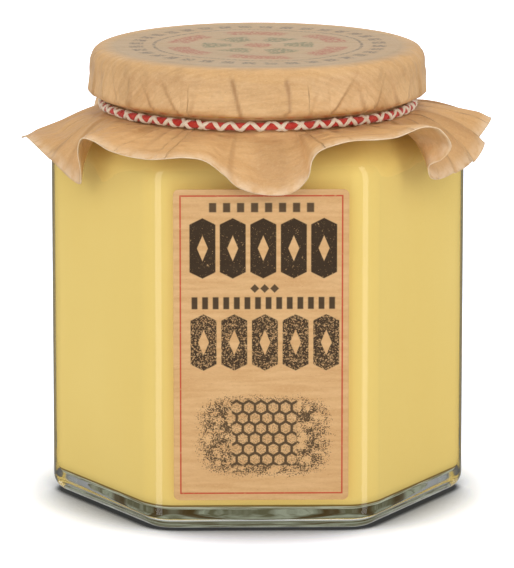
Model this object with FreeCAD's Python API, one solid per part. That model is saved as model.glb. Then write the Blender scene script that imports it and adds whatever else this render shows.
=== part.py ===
import FreeCAD, Part

# A filled hexagonal honey jar, in millimetres. +Z is up, -Y is the labelled side, and the
# origin is the middle of the base on the surface that the jar stands on.
#
# Six pieces, all in one rigid body:
#   jar_glass    hexagonal glass with rounded corners, a pushed-up base, a shoulder and a round neck
#   honey        the filling, which meets the glass and ends in a level top in the neck
#   lid          the round cap, standing on the rim of the glass
#   paper_cover  the disc of kraft paper over the cap, drawn in at the neck, with a ruffled skirt
#   twine        the ring of twine that ties the paper in
#   label        the paper label on the front face of the glass
#
# Most surfaces are skins: rings of points stacked from one end to the other, which are the poles
# of a B-spline surface that closes on itself round the jar. Neighbouring skins share a ring.

import math
import os

Vector = FreeCAD.Vector

# ---------------------------------------------------------------- driving sizes: glass
ACROSS_FLATS = 80.0
CORNER_RADIUS = 8.4          # of the upright edges, outside
GLASS_HEIGHT = 97.3
WALL = 2.8
FLOOR = 4.0                  # glass under the honey, at the walls
BASE_RADIUS = 3.9            # rounding between the sides and the foot
INNER_BASE_RADIUS = 3.0      # rounding between the inner sides and the floor
FOOT_WIDTH = 5.0             # flat ring that the jar stands on
PUSH_UP = 2.0                # rise of the middle of the base
NECK_RADIUS = 32.0
NECK_UNDER_TWINE = 1.35      # length of neck between the shoulder and the twine
SHOULDER_SLOPE = 1.06        # height of the shoulder for each millimetre that it turns in
FINISH_STEP = 1.6            # the glass under the rim is thicker by this
FINISH_HEIGHT = 6.6          # and reaches this far down from the rim
RIM_RADIUS = 1.2             # rounding of the rim, outside and inside

# ---------------------------------------------------------------- driving sizes: contents and cap
FILL_ABOVE_SHOULDER = 0.3    # level of the honey over the top of the shoulder
HONEY_GAP = 0.05             # keeps the honey's solid clear of the glass
LID_OVERHANG = 2.3           # of the cap past the thick glass under the rim
LID_HEIGHT = 10.2
LID_TOP = 1.2                # thickness of the cap's top with its sealing ring
LID_EDGE = 2.8               # rounding of the cap's top edge, outside
LID_WALL = 0.6
BEAD_RADIUS = 1.2            # rolled lower edge of the cap

# ---------------------------------------------------------------- driving sizes: paper, twine, label
PAPER = 0.3                  # thickness of the paper with its small wrinkles
PAPER_GAP = 0.2              # between the paper and the cap
TWINE_DIAMETER = 2.3
TWINE_GAP = 0.15             # between the twine and the paper
NECK_GAP = 0.15              # between the glass neck and the paper at the twine
START_SLOPE = math.radians(-10)   # of the skirt where it leaves the twine
START_SHARE = 0.5            # share of a fold's reach over which it leaves that slope
LABEL_OVERHANG = 0.35        # of the label past the flat part of its face, on each side
LABEL_BOTTOM = 6.9
LABEL_TOP_MARGIN = 1.4       # between the label and the shoulder
LABEL_CORNER = 1.2
LABEL_THICKNESS = 0.15

# The free edge of the skirt, once round the jar. Each fold or hollow is given by its direction in
# degrees, how far it stands out past the flat sides, and how far it drops below the twine.
SKIRT_EDGE = (
    (-180.0, 11.3, 7.0), (-167.0, 6.5, 9.8), (-153.5, 3.1, 13.6), (-147.0, 6.0, 6.0),
    (-140.0, 10.9, 1.8), (-118.0, 8.3, 4.0), (-106.0, 8.5, 3.2), (-99.0, 6.9, 6.4),
    (-92.0, 4.7, 10.4), (-84.0, 4.1, 11.6), (-78.5, 4.3, 9.6), (-75.0, 4.7, 5.0),
    (-68.0, 8.1, 0.5), (-44.0, 10.5, -1.6), (-35.5, 10.5, 4.0), (-31.0, 5.5, 12.4),
    (-16.0, 7.9, 11.0), (-6.0, 9.9, 8.6), (2.0, 8.1, 8.8), (11.0, 12.1, 4.2),
    (31.0, 3.1, 13.0), (44.0, 9.3, 4.0), (58.0, 8.1, 5.6), (75.0, 9.2, 1.0),
    (92.0, 3.3, 12.0), (106.0, 9.3, 2.6), (121.0, 7.9, 5.8), (133.0, 10.3, 2.2),
    (150.0, 3.1, 13.0), (166.0, 7.9, 7.8),
)

# ---------------------------------------------------------------- sizes that follow
HALF_FLATS = ACROSS_FLATS / 2
MOUTH_RADIUS = NECK_RADIUS - WALL
FINISH_RADIUS = NECK_RADIUS + FINISH_STEP
FINISH_START = GLASS_HEIGHT - FINISH_HEIGHT
LID_RADIUS = FINISH_RADIUS + LID_OVERHANG
LID_UNDERSIDE = GLASS_HEIGHT
LID_TOP_HEIGHT = LID_UNDERSIDE + LID_TOP
LID_BOTTOM = LID_TOP_HEIGHT - LID_HEIGHT
PAPER_RADIUS = LID_RADIUS + PAPER_GAP + PAPER
PAPER_TOP = LID_TOP_HEIGHT + PAPER_GAP + PAPER
GROOVE_RADIUS = NECK_RADIUS + NECK_GAP + PAPER
TWINE_RADIUS = TWINE_DIAMETER / 2
TWINE_RING = GROOVE_RADIUS + TWINE_GAP + TWINE_RADIUS
TWINE_HEIGHT = LID_BOTTOM - PAPER_GAP - PAPER - TWINE_GAP - TWINE_RADIUS
SHOULDER_TOP = TWINE_HEIGHT - TWINE_RADIUS - NECK_UNDER_TWINE
SHOULDER_START = SHOULDER_TOP - SHOULDER_SLOPE * (HALF_FLATS - NECK_RADIUS)
FILL_HEIGHT = SHOULDER_TOP + FILL_ABOVE_SHOULDER
FACE_WIDTH = 2 * (HALF_FLATS - CORNER_RADIUS) * math.tan(math.pi / 6)
LABEL_WIDTH = FACE_WIDTH + 2 * LABEL_OVERHANG
LABEL_HEIGHT = SHOULDER_START - LABEL_TOP_MARGIN - LABEL_BOTTOM

# ---------------------------------------------------------------- sampling
STEPS = 12                   # ring directions in each half of a sixth of the jar
PAPER_DIRECTIONS = 180
SKIRT_ROWS = 10
ARC_ROWS = 5


def jar_directions():
    """Directions round the jar, closer together at the six corners, in radians."""
    found = []
    for sixth in range(6):
        for step in range(1 - STEPS, STEPS + 1):
            share = step / STEPS
            found.append(math.radians(60 * sixth + 30 * (0.2 * share + 0.8 * share ** 3)))
    return found


def hexagon_reach(direction, half_flats, corner):
    """Distance from the axis to a hexagon with rounded corners, whose corners lie at 0, 60, ..."""
    off = abs((direction + math.pi / 6) % (math.pi / 3) - math.pi / 6)
    centre = (half_flats - corner) / math.cos(math.pi / 6)
    end_of_arc = math.atan2(corner / 2, centre + corner * math.cos(math.pi / 6))
    if off >= end_of_arc:
        return half_flats / math.cos(math.pi / 6 - off)
    return centre * math.cos(off) + math.sqrt(corner ** 2 - (centre * math.sin(off)) ** 2)


def hexagon_ring(inset, height):
    """The jar's outline moved inwards by inset, at one height."""
    corner = max(CORNER_RADIUS - inset, 0.35 * (HALF_FLATS - inset) * inset / HALF_FLATS)
    ring = []
    for direction in jar_directions():
        reach = hexagon_reach(direction, HALF_FLATS - inset, corner)
        ring.append(Vector(reach * math.cos(direction), reach * math.sin(direction), height))
    return ring


def round_ring(radius, height):
    return [Vector(radius * math.cos(a), radius * math.sin(a), height) for a in jar_directions()]


def blended_ring(inset, radius, share, height):
    """Between the hexagonal outline, at share 0, and a circle, at share 1."""
    pairs = zip(hexagon_ring(inset, height), round_ring(radius, height))
    return [a * (1 - share) + b * share for a, b in pairs]


def skin(rings):
    """B-spline face whose poles are rings of points: closed round the rings, open along them."""
    around, along = len(rings[0]), len(rings)
    degree = min(3, along - 1)
    spans = along - degree
    surface = Part.BSplineSurface()
    surface.buildFromPolesMultsKnots(
        [[ring[i] for ring in rings] for i in range(around)],
        [1] * (around + 1),
        [degree + 1] + [1] * (spans - 1) + [degree + 1],
        list(range(around + 1)),
        list(range(spans + 1)),
        True, False, 3, degree,
    )
    return surface.toShape()


def ring_wire(ring):
    """The closed curve in which a skin ends at this ring."""
    curve = Part.BSplineCurve()
    curve.buildFromPolesMultsKnots(
        ring, [1] * (len(ring) + 1), list(range(len(ring) + 1)), True, 3
    )
    return Part.Wire(curve.toShape())


def flat_face(ring, hole=None):
    """Flat face inside a level ring, with an optional ring as its hole."""
    face = Part.Face(ring_wire(ring))
    return face if hole is None else face.cut(Part.Face(ring_wire(hole))).Faces[0]


def closed_solid(faces):
    """One solid from the faces that bound it, turned so that its volume is positive."""
    shell = Part.makeShell(faces)
    shell.sewShape()
    solid = Part.Solid(shell if shell.ShapeType == "Shell" else shell.Shells[0])
    if solid.Volume < 0:
        solid.reverse()
    return solid


def outer_glass_rings():
    """From the edge of the foot up the outside to the top of the rim."""
    rings = []
    for i in range(ARC_ROWS + 1):
        turn = math.pi / 2 * i / ARC_ROWS
        rings.append(hexagon_ring(BASE_RADIUS * (1 - math.sin(turn)), BASE_RADIUS * (1 - math.cos(turn))))
    for share in (0.05, 0.35, 0.65, 0.95):
        rings.append(hexagon_ring(0, BASE_RADIUS + share * (SHOULDER_START - BASE_RADIUS)))
    rings += shoulder_rings(0, NECK_RADIUS, SHOULDER_TOP)
    rings += [round_ring(NECK_RADIUS, SHOULDER_TOP + 0.8), round_ring(NECK_RADIUS, FINISH_START - 1.0)]
    rings += [round_ring(FINISH_RADIUS, FINISH_START + 0.6)]
    rings += [round_ring(FINISH_RADIUS, GLASS_HEIGHT - 2 * RIM_RADIUS)]
    rings += [round_ring(FINISH_RADIUS, GLASS_HEIGHT - RIM_RADIUS / 2)]
    rings += [round_ring(FINISH_RADIUS - RIM_RADIUS / 2, GLASS_HEIGHT)]
    rings += [round_ring(FINISH_RADIUS - RIM_RADIUS, GLASS_HEIGHT)]
    return rings


def shoulder_rings(inset, neck_radius, top):
    """A quarter of an ellipse from the hexagonal sides in to the round neck."""
    rings = []
    for i in range(ARC_ROWS + 2):
        turn = math.pi / 2 * i / (ARC_ROWS + 1)
        height = SHOULDER_START + (top - SHOULDER_START) * math.sin(turn)
        rings.append(blended_ring(inset, neck_radius, 1 - math.cos(turn), height))
    return rings


def inner_rings(gap):
    """From the floor up the inside of the glass, or gap inwards of it, to the level of the honey."""
    wall, low = WALL + gap, FLOOR + gap + INNER_BASE_RADIUS
    rings = []
    for i in range(ARC_ROWS + 1):
        turn = math.pi / 2 * i / ARC_ROWS
        inset = wall + INNER_BASE_RADIUS * (1 - math.sin(turn))
        rings.append(hexagon_ring(inset, low - INNER_BASE_RADIUS * math.cos(turn)))
    for share in (0.05, 0.35, 0.65, 0.95):
        rings.append(hexagon_ring(wall, low + share * (SHOULDER_START - low)))
    top = SHOULDER_TOP - wall
    rings += shoulder_rings(wall, NECK_RADIUS - wall, top)
    rings += [round_ring(NECK_RADIUS - wall, (top + 2 * FILL_HEIGHT) / 3)]
    return rings + [round_ring(NECK_RADIUS - wall, FILL_HEIGHT)]


def mouth_rings():
    """From the level of the honey up the inside of the neck to the rim."""
    return [
        round_ring(MOUTH_RADIUS, FILL_HEIGHT),
        round_ring(MOUTH_RADIUS, (FILL_HEIGHT + GLASS_HEIGHT) / 2),
        round_ring(MOUTH_RADIUS, GLASS_HEIGHT - RIM_RADIUS / 2),
        round_ring(MOUTH_RADIUS + RIM_RADIUS / 2, GLASS_HEIGHT),
        round_ring(MOUTH_RADIUS + RIM_RADIUS, GLASS_HEIGHT),
    ]


def dish_rings(inset, height, rise):
    """A shallow dome over the middle of the base, from one outline to a small level disc."""
    rings = []
    for share in (1.0, 0.93, 0.75, 0.55, 0.35, 0.15):
        # The dome leaves the outline level and is level again in the middle.
        lift = rise * math.cos(math.pi / 2 * share) ** 2
        rings.append([Vector(p.x * share, p.y * share, height + lift) for p in hexagon_ring(inset, height)])
    return rings


def glass():
    outer = outer_glass_rings()
    below, above = inner_rings(0), mouth_rings()
    foot_inset = BASE_RADIUS + FOOT_WIDTH
    under = dish_rings(foot_inset, 0, PUSH_UP)
    floor = dish_rings(WALL + INNER_BASE_RADIUS, FLOOR, PUSH_UP)
    return closed_solid([
        flat_face(outer[0], under[0]), skin(outer), flat_face(outer[-1], above[-1]),
        skin(above), skin(below), skin(floor), flat_face(floor[-1]),
        skin(under), flat_face(under[-1]),
    ])


def honey():
    below = inner_rings(HONEY_GAP)
    floor = dish_rings(WALL + HONEY_GAP + INNER_BASE_RADIUS, FLOOR + HONEY_GAP, PUSH_UP)
    return closed_solid([skin(below), skin(floor), flat_face(floor[-1]), flat_face(below[-1])])


def lid():
    """A turned cap: a level top, a rounded edge, a thin wall and a rolled lower edge."""
    bead_middle = LID_RADIUS - BEAD_RADIUS
    bead_height = LID_BOTTOM + BEAD_RADIUS
    bead_top = bead_height + BEAD_RADIUS
    inner_edge = LID_EDGE - LID_WALL
    inner_radius = LID_RADIUS - LID_WALL
    slant = math.sin(math.pi / 4)

    def at(radius, height):
        return Vector(radius, 0, height)

    edges = [
        Part.makeLine(at(0, LID_UNDERSIDE), at(0, LID_TOP_HEIGHT)),
        Part.makeLine(at(0, LID_TOP_HEIGHT), at(LID_RADIUS - LID_EDGE, LID_TOP_HEIGHT)),
        Part.Arc(
            at(LID_RADIUS - LID_EDGE, LID_TOP_HEIGHT),
            at(LID_RADIUS - LID_EDGE * (1 - slant), LID_TOP_HEIGHT - LID_EDGE * (1 - slant)),
            at(LID_RADIUS, LID_TOP_HEIGHT - LID_EDGE),
        ).toShape(),
        Part.makeLine(at(LID_RADIUS, LID_TOP_HEIGHT - LID_EDGE), at(LID_RADIUS, bead_height)),
        Part.Arc(
            at(LID_RADIUS, bead_height),
            at(bead_middle, LID_BOTTOM),
            at(bead_middle - BEAD_RADIUS, bead_height),
        ).toShape(),
        Part.Arc(
            at(bead_middle - BEAD_RADIUS, bead_height),
            at(bead_middle - BEAD_RADIUS * slant, bead_height + BEAD_RADIUS * slant),
            at(bead_middle, bead_top),
        ).toShape(),
        Part.makeLine(at(bead_middle, bead_top), at(inner_radius, bead_top)),
        Part.makeLine(at(inner_radius, bead_top), at(inner_radius, LID_UNDERSIDE - inner_edge)),
        Part.Arc(
            at(inner_radius, LID_UNDERSIDE - inner_edge),
            at(inner_radius - inner_edge * (1 - slant), LID_UNDERSIDE - inner_edge * (1 - slant)),
            at(inner_radius - inner_edge, LID_UNDERSIDE),
        ).toShape(),
        Part.makeLine(at(inner_radius - inner_edge, LID_UNDERSIDE), at(0, LID_UNDERSIDE)),
    ]
    profile = Part.Face(Part.Wire(edges))
    return profile.revolve(Vector(0, 0, 0), Vector(0, 0, 1), 360)


def eased(angle):
    """Overhang and drop of the skirt's edge in one direction.

    The curve runs through SKIRT_EDGE and makes no highs or lows of its own.
    """
    knots = list(SKIRT_EDGE) + [(SKIRT_EDGE[0][0] + 360, *SKIRT_EDGE[0][1:])]
    angle = (angle - knots[0][0]) % 360 + knots[0][0]
    count = len(knots) - 1
    spot = max(i for i in range(count) if knots[i][0] <= angle)

    def slope(i, column):
        """Steepness at a knot: the harmonic mean of the two sides, or level at a high or low."""
        before = knots[(i - 1) % count]
        here, after = knots[i % count], knots[(i + 1) % count]
        left = (here[column] - before[column]) / ((here[0] - before[0]) % 360)
        right = (after[column] - here[column]) / ((after[0] - here[0]) % 360)
        return 0.0 if left * right <= 0 else 2 * left * right / (left + right)

    low, high = knots[spot], knots[spot + 1]
    width = high[0] - low[0]
    t = (angle - low[0]) / width
    values = []
    for column in (1, 2):
        start, end = width * slope(spot, column), width * slope(spot + 1, column)
        values.append(
            (2 * t ** 3 - 3 * t ** 2 + 1) * low[column] + (3 * t ** 2 - 2 * t ** 3) * high[column]
            + (t ** 3 - 2 * t ** 2 + t) * start + (t ** 3 - t ** 2) * end
        )
    return values


def cap_profile():
    """Radius and height of the paper's outside from its level top down into the twine's groove."""
    edge = LID_EDGE + PAPER_GAP + PAPER
    under = BEAD_RADIUS + PAPER_GAP + PAPER
    points = []
    for i in range(ARC_ROWS + 1):
        turn = math.pi / 2 * i / ARC_ROWS
        points.append((PAPER_RADIUS - edge * (1 - math.sin(turn)), PAPER_TOP - edge * (1 - math.cos(turn))))
    bead_height = LID_BOTTOM + BEAD_RADIUS
    points.append((PAPER_RADIUS, (PAPER_TOP - edge + bead_height) / 2))
    for i in range(ARC_ROWS):
        turn = math.radians(92) * i / (ARC_ROWS - 1)
        points.append((PAPER_RADIUS - under * (1 - math.cos(turn)), bead_height - under * math.sin(turn)))
    groove = TWINE_RADIUS + TWINE_GAP
    points.append((GROOVE_RADIUS + 1.1 * groove, TWINE_HEIGHT + 1.25 * groove))
    for turn in (84, 66, 48, 30, 12, -6, -24, -42, -60):
        points.append((
            TWINE_RING - groove * math.cos(math.radians(turn)),
            TWINE_HEIGHT + groove * math.sin(math.radians(turn)),
        ))
    return points


def skirt_point(share, overhang, drop):
    """A point of a fold, from the groove at share 0 to the free edge at share 1, as (radius, height).

    The fold leaves the groove at one slope for all folds, then bends up or down to its own edge.
    """
    groove = TWINE_RADIUS + TWINE_GAP
    start = (GROOVE_RADIUS + 0.8 * groove, TWINE_HEIGHT - 1.03 * groove)
    end = (HALF_FLATS + overhang, start[1] - drop)
    run = START_SHARE * math.hypot(end[0] - start[0], end[1] - start[1])
    bend = (start[0] + run * math.cos(START_SLOPE), start[1] + run * math.sin(START_SLOPE))
    weights = ((1 - share) ** 2, 2 * share * (1 - share), share ** 2)
    return tuple(sum(w * p[k] for w, p in zip(weights, (start, bend, end))) for k in (0, 1))


def paper_rings():
    """Rings of the paper's outer face, from the edge of its level top to the edge of the skirt."""
    directions = [2 * math.pi * i / PAPER_DIRECTIONS - math.pi for i in range(PAPER_DIRECTIONS)]
    rings = []
    for radius, height in cap_profile():
        rings.append([Vector(radius * math.cos(a), radius * math.sin(a), height) for a in directions])
    edges = [eased(math.degrees(a)) for a in directions]
    for row in range(SKIRT_ROWS + 1):
        ring = []
        for a, (overhang, drop) in zip(directions, edges):
            radius, height = skirt_point((row / SKIRT_ROWS) ** 1.4, overhang, drop)
            ring.append(Vector(radius * math.cos(a), radius * math.sin(a), height))
        rings.append(ring)
    return rings


def moved_inwards(rings, depth):
    """The same rings, each point moved to the inner side of the sheet by its thickness."""
    moved = []
    last = len(rings) - 1
    for row, ring in enumerate(rings):
        inner = []
        for i, point in enumerate(ring):
            around = ring[(i + 1) % len(ring)] - ring[i - 1]
            along = rings[min(row + 1, last)][i] - rings[max(row - 1, 0)][i]
            if row == 0:
                along = Vector(point.x, point.y, 0)
            normal = along.cross(around)
            inner.append(point - normal.normalize() * depth)
        moved.append(inner)
    return moved


def paper_cover():
    outer = paper_rings()
    inner = moved_inwards(outer, PAPER)
    return closed_solid([
        flat_face(outer[0]), skin(outer), skin([outer[-1], inner[-1]]), skin(inner), flat_face(inner[0]),
    ])


def twine():
    return Part.makeTorus(TWINE_RING, TWINE_RADIUS, Vector(0, 0, TWINE_HEIGHT))


def label():
    """A thin upright plate with rounded corners, its back on the front face of the glass."""
    plate = Part.makeBox(
        LABEL_WIDTH, LABEL_THICKNESS, LABEL_HEIGHT,
        Vector(-LABEL_WIDTH / 2, -HALF_FLATS - LABEL_THICKNESS, LABEL_BOTTOM),
    )
    corners = [e for e in plate.Edges if abs(e.tangentAt(e.FirstParameter).y) > 0.99]
    return plate.makeFillet(LABEL_CORNER, corners)


def main():
    os.makedirs("parts", exist_ok=True)
    pieces = {
        "jar_glass": glass(), "honey": honey(), "lid": lid(),
        "paper_cover": paper_cover(), "twine": twine(), "label": label(),
    }
    for name, solid in pieces.items():
        box = solid.BoundBox
        print(
            f"{name}: valid {solid.isValid()}, closed {solid.isClosed()}, {len(solid.Solids)} solid, "
            f"{solid.Volume / 1000:.2f} ml, x {box.XMin:.2f} {box.XMax:.2f}, "
            f"y {box.YMin:.2f} {box.YMax:.2f}, z {box.ZMin:.2f} {box.ZMax:.2f}"
        )
        solid.exportStep(f"parts/{name}.step")


main()
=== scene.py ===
import math

import bpy
import numpy as np
from mathutils import Euler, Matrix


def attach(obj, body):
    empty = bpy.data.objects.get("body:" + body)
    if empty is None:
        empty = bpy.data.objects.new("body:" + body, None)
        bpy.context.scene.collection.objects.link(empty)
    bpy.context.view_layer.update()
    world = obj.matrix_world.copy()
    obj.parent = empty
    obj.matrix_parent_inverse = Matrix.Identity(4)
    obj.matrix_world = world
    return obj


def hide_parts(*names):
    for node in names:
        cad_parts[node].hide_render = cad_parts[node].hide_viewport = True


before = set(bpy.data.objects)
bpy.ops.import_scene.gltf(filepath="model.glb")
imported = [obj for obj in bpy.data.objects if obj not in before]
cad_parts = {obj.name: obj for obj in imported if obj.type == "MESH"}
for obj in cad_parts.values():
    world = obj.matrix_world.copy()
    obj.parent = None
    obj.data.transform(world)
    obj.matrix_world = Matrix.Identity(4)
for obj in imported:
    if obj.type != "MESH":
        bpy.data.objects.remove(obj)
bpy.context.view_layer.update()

MM = 0.001

# ---------------------------------------------------------------- the jar's sizes, in mm
HALF_FLATS, CORNER_RADIUS = 40.0, 7.7
BASE_RADIUS, FOOT_WIDTH, PUSH_UP, FLOOR = 3.9, 5.0, 2.0, 4.0
CORNER_START = 44.2                # from the axis to where a rounded corner leaves the flat sides
WALL_SEEN = 3.2                    # wall where the honey starts
INNER_BASE_RADIUS = 3.0
SHOULDER_START, SHOULDER_TOP = 75.52, 84.0
NECK_RADIUS, FINISH_RADIUS = 32.0, 33.6
GLASS_HEIGHT, RIM_RADIUS = 97.3, 1.2
MOUTH_RADIUS = 29.2
FILL_HEIGHT = 84.3
HONEY_INTO_WALL = 0.12
PAPER_RADIUS, PAPER_TOP, PAPER_EDGE = 36.4, 99.0, 3.0
GROOVE_RADIUS = 32.55
SKIRT_START = (33.4, 85.2)         # radius and height where the skirt leaves the twine
TWINE_RING, TWINE_HEIGHT = 33.8, 86.5
LABEL_HALF_WIDTH, LABEL_BOTTOM, LABEL_TOP, LABEL_CORNER = 18.59, 6.9, 74.12, 1.2
LABEL_THICKNESS = 0.15
FLAT_SPAN = 140.0                  # side of the square that holds the cover laid flat


def linear(red, green, blue):
    """Light values of a colour written in 0-255 display steps."""
    found = []
    for step in (red, green, blue):
        part = step / 255
        found.append(part / 12.92 if part <= 0.04045 else ((part + 0.055) / 1.055) ** 2.4)
    return (*found, 1.0)


def ease(value, low, high):
    """0 below low, 1 above high, and a smooth S between them."""
    share = np.clip((value - low) / (high - low), 0, 1)
    return share * share * (3 - 2 * share)


def step_up(value, width):
    """A soft step from 0 to 1 as value goes through 0, over about width."""
    return 0.5 + 0.5 * np.tanh(value / width)


# ---------------------------------------------------------------- meshes
def sheet_faces(rows, columns, closed):
    """Four-cornered faces between neighbouring points of a grid, joined round when closed."""
    across = columns if closed else columns - 1
    row, column = np.meshgrid(np.arange(rows - 1), np.arange(across), indexing="ij")
    after = (column + 1) % columns
    low, high = row * columns, (row + 1) * columns
    faces = [low + column, low + after, high + after, high + column]
    return np.stack(faces, -1).reshape(-1, 4)


def make_piece(name, points, face_lists, material, uv=None, marks=None):
    """A mesh object from points in mm, arrays of faces, one uv pair per point and named numbers per point."""
    mesh = bpy.data.meshes.new(name)
    corners = np.concatenate([faces.ravel() for faces in face_lists])
    sizes = np.concatenate([np.full(len(faces), faces.shape[1]) for faces in face_lists])
    mesh.vertices.add(len(points))
    mesh.vertices.foreach_set("co", (np.asarray(points) * MM).ravel())
    mesh.loops.add(len(corners))
    mesh.loops.foreach_set("vertex_index", corners)
    mesh.polygons.add(len(sizes))
    mesh.polygons.foreach_set("loop_start", np.concatenate([[0], np.cumsum(sizes)[:-1]]))
    mesh.polygons.foreach_set("use_smooth", np.full(len(sizes), True))
    if uv is not None:
        layer = mesh.uv_layers.new(name="UVMap")
        layer.data.foreach_set("uv", np.asarray(uv)[corners].ravel())
    for mark, values in (marks or {}).items():
        mesh.attributes.new(mark, "FLOAT", "POINT").data.foreach_set("value", values.astype(np.float32))
    mesh.update(calc_edges=True)
    mesh.validate()
    mesh.materials.append(material)
    piece = bpy.data.objects.new(name, mesh)
    bpy.context.scene.collection.objects.link(piece)
    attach(piece, "root")
    return piece


def turned_skin(rings, start_pole=None, end_pole=None):
    """Points and faces of a skin over closed rings, shut at its ends by a point in the middle."""
    rings = np.asarray(rings)
    rows, columns = rings.shape[:2]
    points = rings.reshape(-1, 3)
    faces = [sheet_faces(rows, columns, True)]
    around = np.arange(columns)
    after = (around + 1) % columns
    if start_pole is not None:
        points = np.vstack([points, start_pole])
        faces.append(np.stack([np.full(columns, len(points) - 1), after, around], -1))
    if end_pole is not None:
        points = np.vstack([points, end_pole])
        last = (rows - 1) * columns
        faces.append(np.stack([np.full(columns, len(points) - 1), last + around, last + after], -1))
    return points, faces


# ---------------------------------------------------------------- shader helpers
class Number:
    """A socket of numbers. Its operators add Math nodes."""

    def __init__(self, shader, socket):
        self.shader, self.socket = shader, socket

    def math(self, operation, *others, first=None):
        """A Math node with this as its first value, or as its second after first."""
        values = [self if first is None else first, *([self] if first is not None else []), *others]
        node = self.shader.node("ShaderNodeMath", {"operation": operation}, dict(enumerate(values)))
        return Number(self.shader, node.outputs[0])

    def __add__(self, other): return self.math("ADD", other)
    def __radd__(self, other): return self.math("ADD", other)
    def __sub__(self, other): return self.math("SUBTRACT", other)
    def __rsub__(self, other): return self.math("SUBTRACT", first=other)
    def __mul__(self, other): return self.math("MULTIPLY", other)
    def __rmul__(self, other): return self.math("MULTIPLY", other)
    def __truediv__(self, other): return self.math("DIVIDE", other)
    def __rtruediv__(self, other): return self.math("DIVIDE", first=other)
    def __pow__(self, other): return self.math("POWER", other)
    def __abs__(self): return self.math("ABSOLUTE")
    def sqrt(self): return self.math("SQRT")
    def frac(self): return self.math("FRACT")
    def at_most(self, other): return self.math("MINIMUM", other)
    def at_least(self, other): return self.math("MAXIMUM", other)
    def clamped(self): return self.math("MAXIMUM", 0.0).math("MINIMUM", 1.0)

    def above(self, edge, width):
        """1 where this is past edge, 0 before it, with a straight slope width wide."""
        return ((self - edge) / width + 0.5).clamped()

    def near(self, middle, half, width):
        """1 within half of middle."""
        return 1 - abs(self - middle).above(half, width)


class Shader:
    """A node tree, started empty."""

    def __init__(self, name, world=None):
        owner = world or bpy.data.materials.new(name)
        owner.use_nodes = True
        self.owner, self.tree = owner, owner.node_tree
        self.tree.nodes.clear()

    def node(self, kind, settings=None, sockets=None):
        """Adds a node: its type, then its settings, then the values or links of its sockets."""
        node = self.tree.nodes.new(kind)
        for key, value in (settings or {}).items():
            setattr(node, key, value)
        for key, value in (sockets or {}).items():
            if isinstance(value, Number):
                value = value.socket
            if isinstance(value, bpy.types.NodeSocket):
                self.tree.links.new(value, node.inputs[key])
            else:
                node.inputs[key].default_value = value
        return node

    def number(self, node, output=0):
        return Number(self, node.outputs[output])

    def mix(self, factor, one, other):
        return self.node("ShaderNodeMix", {"data_type": "RGBA"}, {0: factor, 6: one, 7: other}).outputs[2]

    def mark(self, name):
        return self.number(self.node("ShaderNodeAttribute", {"attribute_name": name}), "Fac")

    def place(self, output="Object"):
        return self.node("ShaderNodeTexCoord").outputs[output]

    def split(self, vector):
        node = self.node("ShaderNodeSeparateXYZ", None, {0: vector})
        return [self.number(node, i) for i in range(3)]

    def join(self, x, y, z=0.0):
        return self.node("ShaderNodeCombineXYZ", None, {0: x, 1: y, 2: z}).outputs[0]

    def stretched(self, vector, by):
        return self.node("ShaderNodeVectorMath", {"operation": "MULTIPLY"}, {0: vector, 1: by}).outputs[0]

    def noise(self, vector, scale, detail=3.0, rough=0.5):
        return self.number(self.node("ShaderNodeTexNoise", None, {
            "Vector": vector, "Scale": scale, "Detail": detail, "Roughness": rough}))

    def cells(self, vector, scale):
        """Distance to the nearest of scattered points."""
        node = self.node("ShaderNodeTexVoronoi", None, {"Vector": vector, "Scale": scale})
        return self.number(node, "Distance")

    def bump(self, height, strength, distance, under=None):
        sockets = {"Height": height, "Strength": strength, "Distance": distance}
        if under is not None:
            sockets["Normal"] = under
        return self.node("ShaderNodeBump", None, sockets).outputs[0]

    def surface(self, **sockets):
        """A Principled shader as the material's surface. Words in the names are split by _."""
        named = {key.replace("_", " "): value for key, value in sockets.items()}
        shader = self.node("ShaderNodeBsdfPrincipled", None, named)
        self.finish(shader.outputs[0])
        return shader

    def finish(self, socket, kind="ShaderNodeOutputMaterial"):
        self.node(kind, None, {0: socket})


# ---------------------------------------------------------------- the glass and the honey
ARC_COLUMNS = 14
FLAT_SHARES = (0.015, 0.06, 0.18, 0.34, 0.5, 0.66, 0.82, 0.94, 0.985)
WALL_SHARES = (0.01, 0.06, 0.5, 0.94, 0.99)


def hexagon_columns():
    """Corner points of the six-sided core and outward directions, one pair for each column.

    A column is on a corner, where the direction turns by 60 degrees about one core corner, or on a
    flat side, where the direction stays and the core point moves along the side.
    """
    reach = (HALF_FLATS - CORNER_RADIUS) / math.cos(math.pi / 6)
    core, direction = [], []
    for sixth in range(6):
        middle = math.radians(60 * sixth)
        turn = middle + np.radians(np.linspace(-30, 30, ARC_COLUMNS))
        here = reach * np.array([math.cos(middle), math.sin(middle)])
        there = reach * np.array([math.cos(middle + math.pi / 3), math.sin(middle + math.pi / 3)])
        core.append(np.repeat(here[None], ARC_COLUMNS, 0))
        direction.append(np.stack([np.cos(turn), np.sin(turn)], -1))
        share = np.array(FLAT_SHARES)[:, None]
        core.append(here * (1 - share) + there * share)
        side = middle + math.pi / 6
        direction.append(np.repeat([[math.cos(side), math.sin(side)]], len(FLAT_SHARES), 0))
    return np.vstack(core), np.vstack(direction)


CORE, OUTWARD = hexagon_columns()
ROUND = (CORE + CORNER_RADIUS * OUTWARD) / np.linalg.norm(CORE + CORNER_RADIUS * OUTWARD, axis=1)[:, None]


def outline(inset, height, share=0.0, radius=0.0):
    """The jar's outline moved inwards by inset, and by share on its way to a circle of that radius."""
    corner = max(CORNER_RADIUS - inset, 0.35 * (HALF_FLATS - inset) * inset / HALF_FLATS)
    scale = (HALF_FLATS - inset - corner) / (HALF_FLATS - CORNER_RADIUS)
    flat = (CORE * scale + OUTWARD * corner) * (1 - share) + ROUND * radius * share
    return np.column_stack([flat, np.full(len(flat), height)])


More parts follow.
